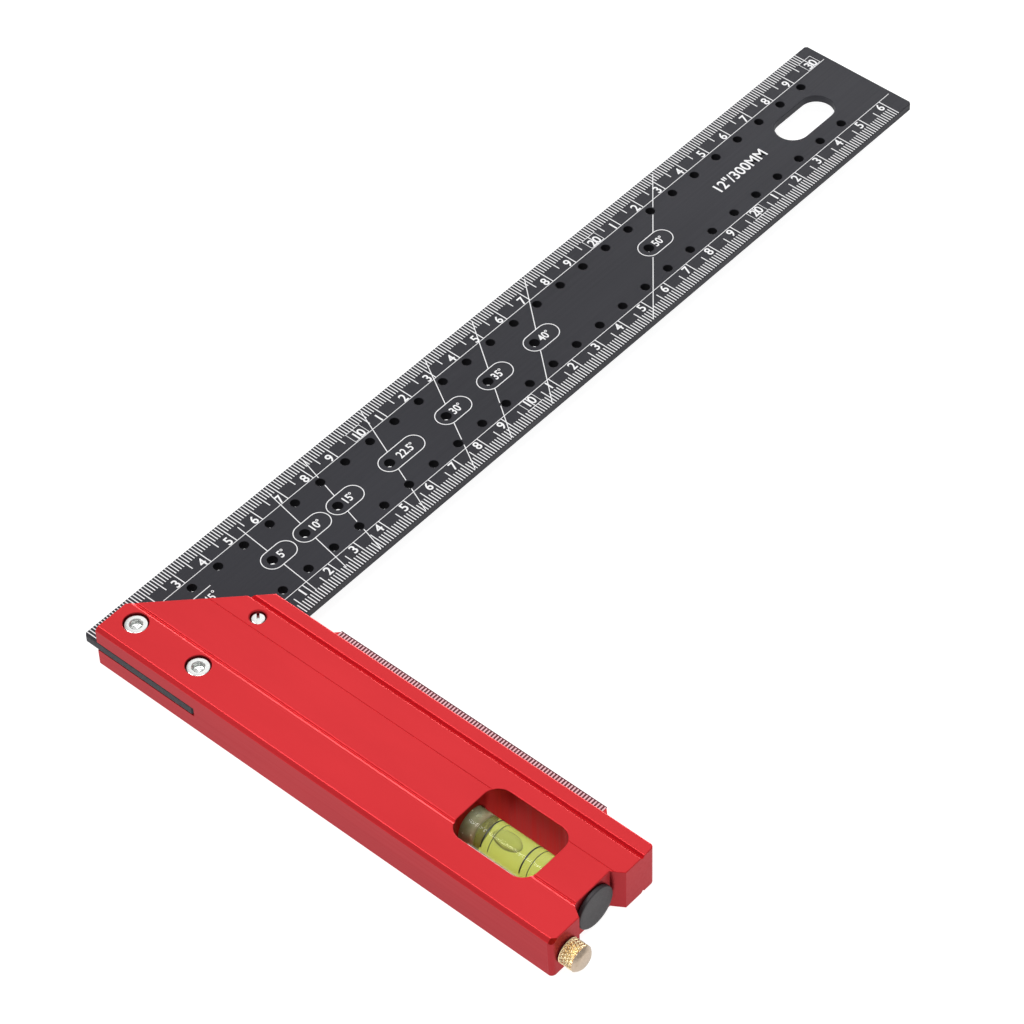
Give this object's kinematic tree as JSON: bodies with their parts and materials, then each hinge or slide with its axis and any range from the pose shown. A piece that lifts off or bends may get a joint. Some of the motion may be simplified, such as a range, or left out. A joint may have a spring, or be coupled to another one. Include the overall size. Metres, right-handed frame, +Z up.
{
  "type": "marking square",
  "caption": "Fixed-blade carpenter's square: ruled, drilled black blade in a thick red stock with a spirit level, a ruled ledge and a stored locating pin.",
  "frame": {"origin": "centre of the object's underside, on the surface it lies on", "axes": "+X along the blade from the stock towards the blade's tip, +Y from the stock towards the blade's outer edge, +Z up out of the ruled face"},
  "size_m": [0.3056, 0.1686, 0.0144],
  "materials": {
    "red_anodised": "red anodised, satin, bead-blasted",
    "black_anodised": "black anodised, satin, with white printed graduations",
    "bright_steel": "bright nickel plate",
    "clear_acrylic": "clear, polished",
    "vial_liquid": "yellow-green liquid",
    "vial_bubble": "air in liquid",
    "black_rubber": "matte",
    "black_plastic": "moulded, fine texture",
    "brass": "knurled, turned flat end",
    "pin_steel": "ground"
  },
  "bodies": {
    "square": {"stock": "red_anodised", "blade": "black_anodised", "clamp_screw_heel": "bright_steel", "clamp_screw_throat": "bright_steel", "vial_tube": "clear_acrylic", "vial_liquid": "vial_liquid", "vial_stopper": "clear_acrylic", "vial_pad": "black_rubber", "end_plug": "black_plastic"},
    "locating_pin": {"pin_head": "brass", "pin_shank": "pin_steel"},
    "adjuster": {"set_screw": "bright_steel"},
    "bubble": {"vial_bubble": "vial_bubble"}
  },
  "joints": [
    {"name": "pin_slide", "type": "slide", "parent": "square", "child": "locating_pin", "axis": [0, -1, 0], "range_m": [0, 0.018]},
    {"name": "adjuster_turn", "type": "hinge", "parent": "square", "child": "adjuster", "pos_m": [-0.1224, 0.04935, 0.0112], "axis": [0, 0, 1], "continuous": true},
    {"name": "bubble_travel", "type": "slide", "parent": "square", "child": "bubble", "axis": [0, 1, 0], "range_m": [-0.0078, 0.002]}
  ]
}
